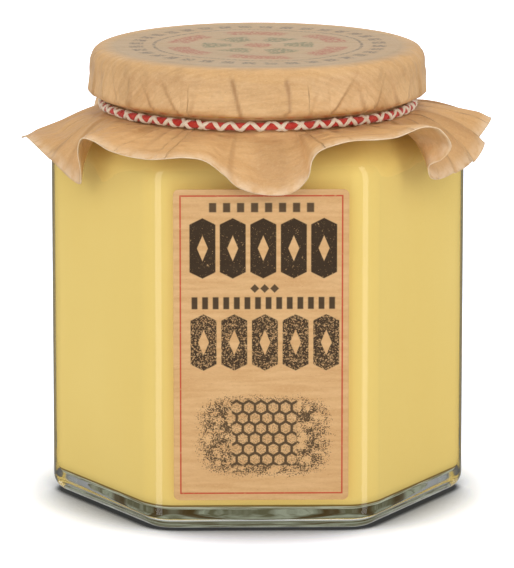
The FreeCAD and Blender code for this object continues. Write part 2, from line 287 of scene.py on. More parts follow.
def dish(inset, height, rise):
    """Rings of a shallow dome from the middle out to one outline, lifted by rise in the middle."""
    shares = np.array([0.03, 0.15, 0.35, 0.55, 0.75, 0.9, 0.97, 1.0])
    return [outline(inset, 0) * [share, share, 0] + [0, 0, height + rise * math.cos(math.pi / 2 * share) ** 2]
            for share in shares]


def shoulder(inset, top, radius, rows=14):
    """A quarter of an ellipse from the flat sides in to the round neck."""
    turns = np.linspace(0, math.pi / 2, rows)
    return [outline(inset, SHOULDER_START + (top - SHOULDER_START) * math.sin(t), 1 - math.cos(t), radius)
            for t in turns]


def outer_wall():
    rings = [outline(BASE_RADIUS * (1 - math.sin(t)), BASE_RADIUS * (1 - math.cos(t)))
             for t in np.linspace(0, math.pi / 2, 12)]
    tall = SHOULDER_START - BASE_RADIUS
    rings += [outline(0, BASE_RADIUS + share * tall) for share in WALL_SHARES]
    return rings + shoulder(0, SHOULDER_TOP, NECK_RADIUS)


def inner_wall(inset):
    """From the floor's edge up the inside to the top of the neck's foot."""
    low = FLOOR + INNER_BASE_RADIUS
    rings = [outline(inset + INNER_BASE_RADIUS * (1 - math.sin(t)), low - INNER_BASE_RADIUS * math.cos(t))
             for t in np.linspace(0, math.pi / 2, 10)]
    rings += [outline(inset, low + share * (SHOULDER_START - low)) for share in WALL_SHARES]
    return rings + shoulder(inset, SHOULDER_TOP - 2.0, MOUTH_RADIUS)


def neck_and_rim():
    """The neck outside, the step that the lid grips, and the rounded rim, as rings round the axis."""
    rows = [(NECK_RADIUS, 84.4), (NECK_RADIUS, 89.4), (NECK_RADIUS + 0.5, 90.4), (FINISH_RADIUS - 0.3, 91.0),
            (FINISH_RADIUS, 91.6), (FINISH_RADIUS, GLASS_HEIGHT - 1.6)]
    quarter = np.linspace(0, math.pi / 2, 5)
    across, up = RIM_RADIUS * np.cos(quarter), GLASS_HEIGHT - RIM_RADIUS + RIM_RADIUS * np.sin(quarter)
    rows += list(zip(FINISH_RADIUS - RIM_RADIUS + across, up))
    rows += list(zip(MOUTH_RADIUS + RIM_RADIUS - across[::-1], up[::-1]))
    rows += [(MOUTH_RADIUS, 90.0), (MOUTH_RADIUS, 84.5)]
    return [outline(0, height, 1, radius) for radius, height in rows]


def glass_piece(material):
    """One closed skin: the middle of the base, the foot, the outside, the rim, the inside, the floor."""
    rings = dish(BASE_RADIUS + FOOT_WIDTH, 0, PUSH_UP) + outer_wall() + neck_and_rim()
    rings += inner_wall(WALL_SEEN)[::-1] + dish(WALL_SEEN + INNER_BASE_RADIUS, FLOOR, PUSH_UP)[::-1]
    points, faces = turned_skin(rings, [[0, 0, PUSH_UP]], [[0, 0, FLOOR + PUSH_UP]])
    piece = make_piece("jar_body", points, faces, material)
    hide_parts("jar_glass")


def honey_piece(material):
    """The filling: the same inside surface, reaching a little into the glass, with a level top."""
    inset = WALL_SEEN - HONEY_INTO_WALL
    rings = [ring - [0, 0, HONEY_INTO_WALL] for ring in dish(inset + INNER_BASE_RADIUS, FLOOR, PUSH_UP)]
    rings += [ring - [0, 0, HONEY_INTO_WALL * (1 - ease(ring[0, 2], 4, 10))] for ring in inner_wall(inset)]
    rings += [outline(0, FILL_HEIGHT, 1, MOUTH_RADIUS + HONEY_INTO_WALL)]
    rings += [outline(0, FILL_HEIGHT - 0.02, 1, MOUTH_RADIUS * share) for share in (0.98, 0.6, 0.2)]
    points, faces = turned_skin(
        rings, [[0, 0, FLOOR + PUSH_UP - HONEY_INTO_WALL]], [[0, 0, FILL_HEIGHT - 0.02]])
    piece = make_piece("honey_filling", points, faces, material)
    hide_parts("honey")


# ---------------------------------------------------------------- the paper cover
# The skirt's free edge, once round: direction at the twine, direction at the edge, radius, height,
# and how steeply the paper leaves the twine there, in degrees below level.
SKIRT_EDGE = np.array([
    (-180, -178, 50.6, 79.2, 38), (-168, -168, 47.0, 76.2, 30), (-158, -156.6, 43.8, 72.1, 15),
    (-155, -153.5, 43.1, 71.6, 12), (-151, -147.5, 45.5, 75.4, 10), (-147, -142.4, 49.0, 80.7, 6),
    (-142, -138, 50.9, 84.1, 3), (-136, -134.4, 50.9, 84.1, 2), (-128.5, -128.5, 50.8, 82.4, 5),
    (-119.4, -119.4, 49.4, 81.2, 8), (-109.5, -109.5, 48.0, 81.9, 10), (-104.6, -104.6, 46.8, 81.1, 14),
    (-99.7, -99.7, 45.3, 77.7, 20), (-95.8, -95.8, 44.5, 75.1, 26), (-88.8, -88.8, 43.8, 73.6, 30),
    (-81.4, -81.4, 44.2, 74.1, 26), (-77.6, -77.6, 45.4, 77.4, 16), (-77.1, -77.1, 46.6, 80.8, 10),
    (-75.1, -75.1, 47.4, 83.2, 5), (-67.4, -67.4, 48.1, 85.1, 0), (-59, -59, 48.4, 85.0, -1),
    (-53.2, -53.2, 48.5, 85.1, -2), (-47.9, -47.9, 50.0, 86.7, -5), (-46, -44.9, 50.5, 86.7, -5),
    (-43.5, -41.3, 50.7, 85.7, -3), (-41, -36.9, 50.8, 81.4, 0), (-38.5, -38.9, 49.4, 78.7, 5),
    (-36.5, -41.4, 48.0, 77.7, 12), (-34.5, -39.3, 46.5, 75.0, 20), (-33, -36, 46.0, 73.7, 25),
    (-24.5, -25.7, 46.2, 73.6, 22), (-15, -15.2, 48.3, 75.0, 16), (-10, -9.7, 49.5, 77.3, 14),
    (-2, -1, 47.5, 77.0, 18), (10, 10, 52.2, 81.3, 3), (31, 31, 43.1, 72.2, 20),
    (44, 44, 49.3, 81.2, 10), (58, 58, 48.1, 79.6, 12), (75, 75, 49.2, 84.2, 4),
    (92, 92, 43.3, 73.2, 20), (106, 106, 49.3, 82.6, 8), (121, 121, 47.9, 79.4, 12),
    (133, 133, 50.3, 83.0, 6), (150, 150, 43.1, 72.2, 20), (166, 166, 47.9, 77.4, 15),
    (176, 177, 51.6, 78.0, 32),
])
COVER_COLUMNS = 536
# Folds down the side of the cover: direction, lean in degrees per mm, length it dies away over
# (its sign says to which side), and height. Lengths in mm.
PLEATS = (
    (-176, 0.3, 5.0, 0.5), (-166, -0.5, -4.0, 0.45), (-157, 0.4, 4.5, 0.5), (-147, 0.6, 5.0, 0.45),
    (-139, -0.3, -3.5, 0.4), (-131, 0.9, 4.5, 0.5), (-121.5, 1.0, 5.0, 0.55), (-113, -0.4, -4.0, 0.25),
    (-72, -0.5, -5.0, 0.25), (-62, -1.2, -5.5, 0.6), (-54, 0.5, 4.0, 0.45), (-46, -0.8, -4.0, 0.5),
    (-38, 0.5, 4.5, 0.45), (-29, -0.6, -4.0, 0.55), (-19, 0.4, 4.5, 0.45), (-8, -0.3, -4.0, 0.5),
    (4, 0.5, 4.0, 0.45), (16, -0.5, -4.5, 0.5), (29, 0.5, 4.0, 0.5), (41, -0.6, -4.5, 0.45),
    (54, 0.4, 5.0, 0.5), (66, 0.6, 4.0, 0.45), (79, -0.5, -5.0, 0.5), (91, 0.5, 4.0, 0.45),
    (103, -0.4, -4.5, 0.5), (116, 0.6, 5.0, 0.5), (128, -0.5, -4.0, 0.45), (141, 0.4, 4.5, 0.5),
    (154, -0.5, -4.0, 0.5), (167, 0.5, 4.5, 0.45),
)
# Folds along the skirt: direction, width in degrees (its sign says to which side it dies away), height
# in mm, and where it is highest, as a share of the way out.
SKIRT_FOLDS = (
    (-166, 5, 0.9, 0.35), (-160, -4, 0.6, 0.3), (-147, 4, 0.8, 0.25), (-131, -6, 0.7, 0.2),
    (-122, 4, 0.5, 0.2),
    (-99, -3, 0.5, 0.45), (-77, 3, 0.5, 0.45), (-70, 5, 0.5, 0.2), (-51, -4, 0.6, 0.25), (-36, 4, 0.9, 0.3),
    (-24, -3, 1.0, 0.35), (-16, -3, 1.5, 0.5), (-8, -3, 1.6, 0.55), (-1, -3, 1.2, 0.5), (14, 4, 0.8, 0.4),
    (38, -5, 0.9, 0.4), (52, 4, 0.8, 0.3), (68, -4, 0.9, 0.4), (83, 4, 0.7, 0.3), (100, -5, 0.9, 0.4),
    (113, 4, 0.7, 0.3), (127, -4, 0.9, 0.4), (140, 5, 0.8, 0.35), (158, -4, 0.8, 0.4), (172, 4, 0.9, 0.4),
)
SCOOP = (-87.0, 5.2, 1.3)          # the hollow down the middle of the front lobe: direction, width, depth


def skirt_lift(angle, share):
    """How far folds stand off the skirt's plain curve, and how deep the front lobe's hollow is.

    The folds are one-sided, and rise and sink on the way out.
    """
    total = np.zeros_like(angle)
    for direction, width, height, peak in SKIRT_FOLDS:
        side = ((angle - direction + 180) % 360 - 180) * np.sign(width)
        way = (share / peak) * np.exp(1 - share / peak)
        total += height * way * step_up(side, 0.5) * np.exp(-np.maximum(side, 0) / abs(width))
    off = (angle - SCOOP[0]) / SCOOP[1]
    return total, SCOOP[2] * np.exp(-off ** 4) * max(0.0, math.sin(math.pi * min(1.0, share * 1.02))) ** 0.7


def steepness(heights):
    """How sharply a row's heights change from point to point: 0 for smooth, 1 for a sharp crease."""
    jump = np.abs(np.roll(heights, -1, -1) - np.roll(heights, 1, -1))
    return np.clip(jump / 0.55, 0, 1)


def round_curve(table, samples):
    """A closed smooth curve through the rows of table, each 360 degrees on from the last time round.

    Pieces of cubic Hermite with the tangents of Catmull and Rom, timed by the square root of the
    distance between knots; returns samples points of every column.
    """
    turn = np.array([360, 360, 0, 0, 0])
    knots = np.vstack([table[-2:] - turn, table, table[:3] + turn])
    gap = np.diff(knots, axis=0)
    turned = np.radians(gap[:, :2]) * (20, 47)
    length = np.sqrt(turned[:, 1] ** 2 + turned[:, 0] ** 2 + gap[:, 2] ** 2 + gap[:, 3] ** 2)
    time = np.concatenate([[0], np.cumsum(np.sqrt(length))])
    rate = gap / np.diff(time)[:, None]
    before, after = np.diff(time)[:-1, None], np.diff(time)[1:, None]
    tangent = np.vstack([rate[:1], (rate[:-1] * after + rate[1:] * before) / (before + after), rate[-1:]])
    at = np.linspace(time[2], time[2 + len(table)], samples, endpoint=False)
    spot = np.clip(np.searchsorted(time, at, side="right") - 1, 0, len(time) - 2)
    span = (time[spot + 1] - time[spot])[:, None]
    share = (at - time[spot])[:, None] / span
    leaving = (share ** 3 - 2 * share ** 2 + share) * span * tangent[spot]
    arriving = (share ** 3 - share ** 2) * span * tangent[spot + 1]
    return ((2 * share ** 3 - 3 * share ** 2 + 1) * knots[spot] + leaving
            + (3 * share ** 2 - 2 * share ** 3) * knots[spot + 1] + arriving)


def skirt_columns():
    """COVER_COLUMNS places along the edge, evenly spread by the mean of the lengths at twine and edge."""
    fine = round_curve(SKIRT_EDGE, 6000)
    x, y = fine[:, 2] * np.cos(np.radians(fine[:, 1])), fine[:, 2] * np.sin(np.radians(fine[:, 1]))
    edge = np.column_stack([x, y, fine[:, 3]])
    step = np.linalg.norm(np.roll(edge, -1, 0) - edge, axis=1)
    ring = np.abs(np.diff(np.append(fine[:, 0], fine[0, 0] + 360)))
    run = np.concatenate([[0], np.cumsum(0.5 * step / step.sum() + 0.5 * ring / ring.sum())])
    wanted = np.arange(COVER_COLUMNS) / COVER_COLUMNS
    closed = np.vstack([fine, fine[:1] + [360, 360, 0, 0, 0]])
    return np.column_stack([np.interp(wanted, run, closed[:, i]) for i in range(5)])


def side_folds(angle, height):
    """How far the cover's side stands out: one-sided folds, and a flat raised tab in the front's middle."""
    total = np.zeros(np.broadcast(angle, height).shape)
    for direction, lean, width, depth in PLEATS:
        off = (angle - direction - lean * (92 - height) + 180) % 360 - 180
        side = np.radians(off) * PAPER_RADIUS * np.sign(width)
        total = total + 1.45 * depth * step_up(side, 0.16) * np.exp(-np.maximum(side, 0) / abs(width))
    total = total * (0.15 + 0.85 * ease(96.8 - height, 0, 8.0))
    across = PAPER_RADIUS * np.cos(np.radians(angle))
    left = -5.9 + (96.3 - height) * 0.23
    right = 5.4 + 0.55 * ease(96.3 - height, 0, 2.8) - 1.25 * ease(90.0 - height, 0, 1.6)
    tab = step_up(across - left, 0.18) * step_up(right - across, 0.18) * ease(97.4 - height, 0, 1.2)
    return total + 0.75 * tab * (np.sin(np.radians(angle)) < 0)


def ripples(angle, places, seed):
    """Smooth uneven waves round the ring, between -1 and 1, with the given counts of waves."""
    chance = np.random.default_rng(seed)
    total = sum(np.sin(np.radians(angle) * count + chance.uniform(0, 2 * math.pi)) for count in places)
    return total / len(places)


def cover_rows():
    """Every row of the cover, from the middle of the top to the free edge, and its way from the middle."""
    knots = skirt_columns()
    ring_angle, edge_angle, edge_radius, edge_height, steep = knots.T
    rows, lengths, painted_crease_shade, painted_lip_sheen = [], [], [], []

    def add(radius, height, length, angle=ring_angle):
        turn = np.radians(angle)
        radius = np.broadcast_to(radius, (COVER_COLUMNS,))
        rows.append(np.stack(np.broadcast_arrays(radius * np.cos(turn), radius * np.sin(turn), height), -1))
        lengths.append(np.broadcast_to(length, (COVER_COLUMNS,)))
        painted_crease_shade.append(steepness(radius))
        painted_lip_sheen.append(np.zeros(COVER_COLUMNS))

    flat = PAPER_RADIUS - PAPER_EDGE
    for share in (0.04, 0.15, 0.3, 0.45, 0.6, 0.72, 0.82, 0.9, 0.96, 1.0):
        dip = 0.22 * ripples(ring_angle, (2, 3, 5), 3) * share * (1 - share) * 4
        add(flat * share, PAPER_TOP - 0.12 + 0.12 * share + dip - 0.1, flat * share)
    for turn in np.linspace(0, math.pi / 2, 9)[1:]:
        height = PAPER_TOP - 0.1 - PAPER_EDGE * (1 - math.cos(turn))
        out = side_folds(ring_angle, height) * math.sin(turn)
        wave = 0.18 * ripples(ring_angle, (9, 14, 23, 31), 5) * math.sin(turn)
        add(flat + PAPER_EDGE * math.sin(turn) + out * 0.8 + wave, height, flat + PAPER_EDGE * turn)
    start = flat + PAPER_EDGE * math.pi / 2
    for height in np.linspace(95.4, 90.0, 12):
        out = side_folds(ring_angle, height)
        wave = 0.18 * ripples(ring_angle + 2 * (96 - height), (9, 14, 23, 31), 5)
        add(PAPER_RADIUS + out * 0.8 + wave, height, start + 95.9 - height)
    length = start + 5.9
    folds = side_folds(ring_angle, 89.0)
    # Round the lid's rolled edge and in under it to the groove.
    for turn, in_by in ((20, 0.1), (42, 0.5), (62, 1.1), (80, 1.8)):
        drop = 1.6 * math.sin(math.radians(turn))
        length += 0.55
        add(PAPER_RADIUS - in_by + 0.8 * folds * math.cos(math.radians(turn)), 90.0 - drop, length)
    for share in (0.25, 0.5, 0.75, 1.0):
        radius = 34.4 + (GROOVE_RADIUS - 34.4) * share + 0.35 * folds * (1 - share)
        length += 0.6
        add(radius, 88.3 - 1.0 * share, length)
    for height in (86.9, 86.4, 85.9):
        length += 0.5
        add(GROOVE_RADIUS, height, length)
    # The skirt: a parabola from the twine, leaving at its own slope, to the free edge.
    turn, edge_turn, slope = np.radians(ring_angle), np.radians(edge_angle), np.radians(steep)
    start_point = np.stack([SKIRT_START[0] * np.cos(turn), SKIRT_START[0] * np.sin(turn),
                            np.full(COVER_COLUMNS, SKIRT_START[1])], -1)
    end_point = np.stack([edge_radius * np.cos(edge_turn), edge_radius * np.sin(edge_turn), edge_height], -1)
    reach = np.linalg.norm(end_point - start_point, axis=1)
    leave = np.stack([np.cos(turn) * np.cos(slope), np.sin(turn) * np.cos(slope), -np.sin(slope)], -1)
    control = start_point + leave * (0.5 * reach)[:, None]
    gathers = side_folds(ring_angle, 88.0) - 0.3 + 0.25 * ripples(ring_angle, (37, 53, 71), 8)
    crumple = ripples(ring_angle, (17, 29, 41), 12)
    for share in np.linspace(0, 1, 38):
        bend = (1 - share) ** 2 * start_point + 2 * share * (1 - share) * control + share ** 2 * end_point
        lift = 0.7 * gathers * share * 6 * np.exp(-share * 6) + 0.22 * crumple * math.sin(math.pi * share)
        folded, hollow = skirt_lift(ring_angle, share)
        lift += folded - hollow + 0.6 * share ** 3 - 0.6 * float(ease(share, 0.84, 1.0))
        out = 0.35 * (folded - hollow)
        rows.append(bend + np.stack([out * np.cos(turn), out * np.sin(turn), lift], -1))
        lengths.append(length + 0.5 + reach * share * 1.04)
        # Painted shade: darker along sharp folds and in the front lobe's hollow.
        painted_crease_shade.append(steepness(folded) * float(ease(share, 0.0, 0.1)) + hollow / SCOOP[2] * 0.42)
        # Painted sheen along the last stretch to the free edge.
        painted_lip_sheen.append(np.full(COVER_COLUMNS, float(ease(share, 0.84, 1.0))))
    marks = {"crease": np.array(painted_crease_shade), "lip": np.array(painted_lip_sheen)}
    return clear_of_glass(np.array(rows)), np.array(lengths), ring_angle, marks


def clear_of_glass(rows, gap=0.45):
    """Lifts the paper where it would lie in the glass shoulder, a quarter ellipse over each direction."""
    ring = outline(0, 0)
    turn = np.arctan2(ring[:, 1], ring[:, 0])
    order = np.argsort(turn)
    radius = np.hypot(rows[..., 0], rows[..., 1])
    wall = np.hypot(ring[:, 0], ring[:, 1])
    direction = np.arctan2(rows[..., 1], rows[..., 0])
    reach = np.interp(direction, turn[order], wall[order], period=2 * math.pi) + gap
    share = np.clip((radius - NECK_RADIUS) / (reach - NECK_RADIUS), 0, 1)
    least = SHOULDER_START + gap + (SHOULDER_TOP - SHOULDER_START) * np.sqrt(1 - share ** 2)
    short = np.where((radius < reach) & (radius > NECK_RADIUS + 1.6), least - rows[..., 2], -9)
    rows[..., 2] += np.log1p(np.exp(np.clip(short / 0.25, -30, 30))) * 0.25
    return rows


def flat_places(rows, lengths, angle):
    """Where each point lies on the cover laid flat: from the middle out along the middle line of its own
    panel between two folds, and sideways by its real distance from that line.
    """
    folds = np.sort([direction + lean * 4 for direction, lean, _, _ in PLEATS])
    folds = np.concatenate([[folds[-1] - 360], folds, [folds[0] + 360]])
    wrapped = (angle - folds[1]) % 360 + folds[1]
    spot = np.clip(np.searchsorted(folds, wrapped, side="right") - 1, 0, len(folds) - 2)
    middle = np.broadcast_to((folds[spot] + folds[spot + 1]) / 2, lengths.shape)
    share = ease(lengths, 35.0, 41.0)
    line = np.radians(wrapped + share * (middle - wrapped))
    aside = np.hypot(rows[..., 0], rows[..., 1]) * (np.radians(wrapped) - line)
    x = lengths * np.cos(line) - aside * np.sin(line)
    y = lengths * np.sin(line) + aside * np.cos(line)
    return np.stack([x, y], -1)


def cover_piece(material, edge_material):
    """The paper as one sheet, its uv map the cover laid flat, with ribs along its first direction."""
    rows, lengths, angle, marks = cover_rows()
    points, faces = turned_skin(rows[::-1], None, [[0, 0, PAPER_TOP - 0.22]])
    flat = flat_places(rows, lengths, angle)[::-1].reshape(-1, 2)
    uv = np.vstack([flat, [[0, 0]]]) / FLAT_SPAN + 0.5
    marks = {name: np.append(values[::-1].ravel(), 0.0) for name, values in marks.items()}
    piece = make_piece("paper_wrap", points, faces, material, uv, marks)
    wall = piece.modifiers.new("thickness", "SOLIDIFY")
    wall.thickness, wall.offset, wall.material_offset_rim = 0.2 * MM, -1, 1
    piece.data.materials.append(edge_material)
    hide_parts("paper_cover")


# ---------------------------------------------------------------- the twine
BRAID_TURNS = 52
STRAND_SIDES = 8


def strand(turns, start, sign, reach, swell, thick):
    """A flattened tube wound round the twine's own ring: its angle about the ring is sign times turns times
    the direction, a little uneven, and its distance from the ring, reach, swells and shrinks so that it
    goes over and under.
    """
    count = BRAID_TURNS * 16
    along = np.linspace(0, 2 * math.pi, count, endpoint=False)
    about = sign * turns * along + start + 1.3 * np.sin(5 * along + 0.7) + 0.5 * np.sin(7 * along + 2 * sign)
    out = reach + sign * swell * np.cos(2 * turns * along)
    radius = TWINE_RING + out * np.cos(about)
    sway = 0.06 * np.sin(5 * along + 1) + 0.05 * np.sin(11 * along)
    height = TWINE_HEIGHT + sway + out * np.sin(about)
    path = np.stack([radius * np.cos(along), radius * np.sin(along), height], -1)
    ahead = np.roll(path, -1, 0) - np.roll(path, 1, 0)
    ahead /= np.linalg.norm(ahead, axis=1)[:, None]
    flat = np.full(count, TWINE_HEIGHT)
    away = path - np.stack([TWINE_RING * np.cos(along), TWINE_RING * np.sin(along), flat], -1)
    away -= ahead * (away * ahead).sum(1)[:, None]
    away /= np.linalg.norm(away, axis=1)[:, None]
    side = np.cross(ahead, away)
    turn = np.linspace(0, 2 * math.pi, STRAND_SIDES, endpoint=False)
    ring = (away[:, None] * (0.8 * thick * np.cos(turn))[None, :, None]
            + side[:, None] * (1.25 * thick * np.sin(turn))[None, :, None])
    points = (path[:, None] + ring).reshape(-1, 3)
    faces = sheet_faces(count + 1, STRAND_SIDES, True) % (count * STRAND_SIDES)
    length = np.repeat(along / (2 * math.pi), STRAND_SIDES)
    around = np.tile(turn / (2 * math.pi), count)
    return points, faces[:, ::-1], np.stack([length, around], -1)


def twine_piece(name, material, starts, reach, swell, thick):
    """The strands of one colour, some wound each way."""
    points, faces, uvs, offset = [], [], [], 0
    for sign, start in starts:
        some, some_faces, uv = strand(BRAID_TURNS, start, sign, reach, swell, thick)
        points.append(some)
        faces.append(some_faces + offset)
        uvs.append(uv)
        offset += len(some)
    return make_piece(name, np.vstack(points), [np.vstack(faces)], material, np.vstack(uvs))


# ---------------------------------------------------------------- the label
def label_piece(material):
    """A flat sheet with rounded corners: rows up the front, each from side to side."""
    bend = LABEL_CORNER * (1 - np.cos(np.linspace(0, math.pi / 2, 7)))
    straight = np.linspace(LABEL_BOTTOM + LABEL_CORNER, LABEL_TOP - LABEL_CORNER, 30)[1:-1]
    heights = np.concatenate([LABEL_BOTTOM + bend, straight, LABEL_TOP - bend[::-1]])
    gap = np.minimum(heights - LABEL_BOTTOM, LABEL_TOP - heights)
    cut = LABEL_CORNER - np.sqrt(np.maximum(LABEL_CORNER ** 2 - np.maximum(LABEL_CORNER - gap, 0) ** 2, 0))
    half = LABEL_HALF_WIDTH - cut
    side = [0.97, 0.985, 0.995, 1]
    share = np.concatenate([[-step for step in side[::-1]], np.linspace(-0.94, 0.94, 17), side])
    x = half[:, None] * share[None]
    over = np.maximum(np.abs(x) - (HALF_FLATS - CORNER_RADIUS) * math.tan(math.pi / 6), 0)
    y = -HALF_FLATS - LABEL_THICKNESS + over ** 2 / (2 * CORNER_RADIUS)
    z = np.broadcast_to(heights[:, None], x.shape)
    points = np.stack([x, y, z], -1).reshape(-1, 3)
    faces = sheet_faces(len(heights), len(share), False)
    piece = make_piece("front_label", points, [faces], material)
    wall = piece.modifiers.new("thickness", "SOLIDIFY")
    wall.thickness, wall.offset = (LABEL_THICKNESS - 0.01) * MM, -1
    piece.visible_shadow = False
    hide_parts("label")


# ---------------------------------------------------------------- materials
def glass_material():
    shader = Shader("clear_glass")
    place = shader.place()
    wave = shader.noise(place, 60.0, 2.0)
    tint = shader.mix(shader.noise(place, 25.0, 2.0), (0.955, 0.985, 0.96, 1), (0.97, 0.99, 0.97, 1))
    # A rounded corner seen edge on is looked at through a long way of wall; there its tint is darkened almost
    # to black, painted shade for the glass's dark outline.
    facing = shader.number(shader.node("ShaderNodeLayerWeight", None, {"Blend": 0.5}), "Facing")
    x, y, z = shader.split(place)
    corner = (x * x + y * y).sqrt().above(CORNER_START * MM, 0.4 * MM)
    tint = shader.mix(facing.above(0.60, 0.2) * corner, tint, (0.06, 0.06, 0.04, 1))
    glass = shader.node("ShaderNodeBsdfPrincipled", None, {
        "Base Color": tint, "Roughness": 0.0, "IOR": 1.5, "Transmission Weight": 1.0,
        "Normal": shader.bump(wave, 0.06, 0.0006)})
    light = shader.node("ShaderNodeLightPath")
    clear = shader.node("ShaderNodeBsdfTransparent", None, {"Color": (0.985, 0.995, 0.985, 1)})
    passed = shader.number(light, "Is Shadow Ray").at_least(shader.number(light, "Is Diffuse Ray"))
    both = shader.node("ShaderNodeMixShader", None, {0: passed, 1: glass.outputs[0], 2: clear.outputs[0]})
    shader.finish(both.outputs[0])
    return shader.owner


def honey_material():
    shader = Shader("creamy_honey")
    place = shader.place()
    cloud = shader.noise(shader.stretched(place, (1, 1, 0.5)), 28.0, 3.0, 0.5)
    fine = shader.noise(place, 900.0, 2.0, 0.6)
    colour = shader.mix(cloud.above(0.5, 0.5), linear(241, 209, 124), linear(237, 202, 113))
    colour = shader.mix(fine * 0.25, colour, linear(245, 216, 136))
    # The underside, seen through the thick moulded base, is painted: a dark rim of painted shade, then pale
    # grey-green streaks of painted light for what the base glass shows.
    x, y, z = [value * 1000 for value in shader.split(place)]
    streak = shader.noise(shader.join(x * 0.12, y * 0.12, z * 3.0), 1.0, 3.0, 0.6)
    below = shader.mix(streak.above(0.5, 0.2), linear(148, 140, 108), linear(232, 232, 208))
    domed = (1 - (x * x + y * y).sqrt().above(31.0, 2.0)) * (1 - z.above(9.0, 1.0))
    colour = shader.mix((1 - z.above(4.75, 0.25)).at_least(domed), colour, below)
    # Painted shade: a dark line along the edge of the underside.
    colour = shader.mix(z.near(4.95, 0.22, 0.15) * 0.85, colour, linear(112, 80, 30))
    shader.surface(Base_Color=colour, Roughness=0.6, Specular_IOR_Level=0.0,
                   Normal=shader.bump(fine, 0.05, 0.0002))
    return shader.owner


def lid_material():
    shader = Shader("gold_lacquer")
    place = shader.place()
    scuff = shader.noise(place, 400.0, 4.0, 0.6)
    turned = shader.noise(shader.stretched(place, (1, 1, 30)), 90.0, 2.0)
    colour = shader.mix(scuff.above(0.55, 0.3), (0.66, 0.45, 0.13, 1), (0.74, 0.53, 0.19, 1))
    shader.surface(Base_Color=colour, Metallic=0.85, Roughness=0.26 + scuff * 0.12,
                   Coat_Weight=0.4, Normal=shader.bump(turned, 0.08, 0.0002))
    return shader.owner


def kraft(shader, across, along, specks):
    """Kraft paper's colour and height: uneven ribs, fibres, specks. across and along are in mm."""
    drift = shader.noise(shader.join(across * 0.05, along * 0.05), 1.0, 3.0)
    ribs = shader.noise(shader.join(across * 0.085, along * 0.95, 3.0), 1.0, 1.0, 0.4)
    fine = shader.noise(shader.join(across * 0.5, along * 1.7, 5.0), 1.0, 3.0, 0.65)
    fibre = shader.noise(shader.join(across * 1.6, along * 3.0, 9.0), 1.0, 4.0, 0.7)
    spots = shader.cells(shader.join(across, along * 1.5), specks)
    return drift, ribs, fine, fibre, spots


def paper_material():
    shader = Shader("kraft_cover")
    u, v, _ = shader.split(shader.place("UV"))
    across, along = (u - 0.5) * FLAT_SPAN, (v - 0.5) * FLAT_SPAN
    drift, ribs, fine, fibre, spots = kraft(shader, across, along, 0.8)
    from_middle = (across * across + along * along).sqrt()
    top = 1 - from_middle.above(33.0, 4.0)
    out = from_middle.above(52.0, 8.0)
    # Painted sheen: the top disc's tones are greyer and paler.
    light_tone = shader.mix(top, linear(228, 185, 131), linear(194, 169, 137))
    dark_tone = shader.mix(top, linear(211, 165, 109), linear(181, 155, 122))
    patch = shader.noise(shader.join(across * 0.09, along * 0.09, 8.0), 1.0, 2.0).above(0.5, 0.25)
    shoulder_zone = from_middle.near(37.5, 3.0, 3.0)
    ribbed = ribs.above(0.5, 0.4) * (0.35 + 0.65 * patch).at_least(shoulder_zone)
    colour = shader.mix(ribbed, light_tone, dark_tone)
    colour = shader.mix(drift.above(0.5, 0.3) * (0.3 - top * 0.15), colour, linear(203, 155, 100))
    colour = shader.mix(out * 0.5, colour, linear(206, 155, 98))
    # Painted shade: the steep shoulder between the top and the side is darker.
    colour = shader.mix(shoulder_zone * 0.35, colour, linear(196, 152, 102))
    colour = shader.mix((fine.above(0.56, 0.25)) * 0.28, colour, linear(184, 140, 92))
    colour = shader.mix((fibre.above(0.58, 0.2)) * 0.3, colour, linear(234, 202, 156))
    colour = shader.mix((1 - spots.above(0.09, 0.06)) * 0.4, colour, linear(152, 110, 68))
    crease = shader.mark("crease")
    lip_sheen_patches = shader.noise(shader.join(across * 0.5, along * 0.5, 13.0), 1.0, 2.0).above(0.45, 0.2)
    # Painted shade along the folds and in the front lobe's hollow.
    colour = shader.mix(crease * 0.55, colour, linear(150, 104, 60))
    # Painted sheen: the skirt's edge is lighter, in uneven patches.
    colour = shader.mix(shader.mark("lip") * (0.12 + 0.4 * lip_sheen_patches), colour, linear(240, 214, 180))
    # A faded ring of marks printed in the middle of the top.
    turn = along.math("ARCTAN2", across)
    dashes = (turn * (36 / (2 * math.pi))).frac().near(0.5, 0.30, 0.12)
    petals = (turn * (6 / (2 * math.pi))).frac().near(0.5, 0.34, 0.1)
    wear = shader.noise(shader.join(across, along, 2.0), 1.6, 3.0, 0.6).above(0.47, 0.12)
    outer = from_middle.near(26.5, 1.5, 0.4) * dashes
    line = from_middle.near(22.6, 0.35, 0.3)
    band = from_middle.near(17.5, 2.4, 0.5) * petals
    leaf = from_middle.near(9.0, 3.2, 0.5) * (turn * (6 / (2 * math.pi)) + 0.5).frac().near(0.5, 0.3, 0.1)
    middle = 1 - from_middle.above(3.0, 0.5)
    colour = shader.mix((outer + line).clamped() * wear * 0.7, colour, linear(104, 94, 86))
    colour = shader.mix((band + middle).clamped() * wear * 0.65, colour, linear(176, 84, 70))
    colour = shader.mix(leaf * wear * 0.65, colour, linear(100, 114, 84))
    soft = shader.noise(shader.join(across * 0.16, along * 0.16, 4.0), 1.0, 2.0, 0.5)
    facets = shader.cells(shader.join(across * 0.11, along * 0.11, 6.0), 1.0)
    normal = shader.bump(ribs * 0.5 + fine * 0.4 + fibre * 0.25, 0.35, 0.00012)
    normal = shader.bump((soft + facets * 0.55) * (1 - top * 0.8), 0.8, 0.0020, normal)
    shader.surface(Base_Color=colour, Roughness=0.42 + fine * 0.15, Specular_IOR_Level=0.5, Normal=normal)
    return shader.owner


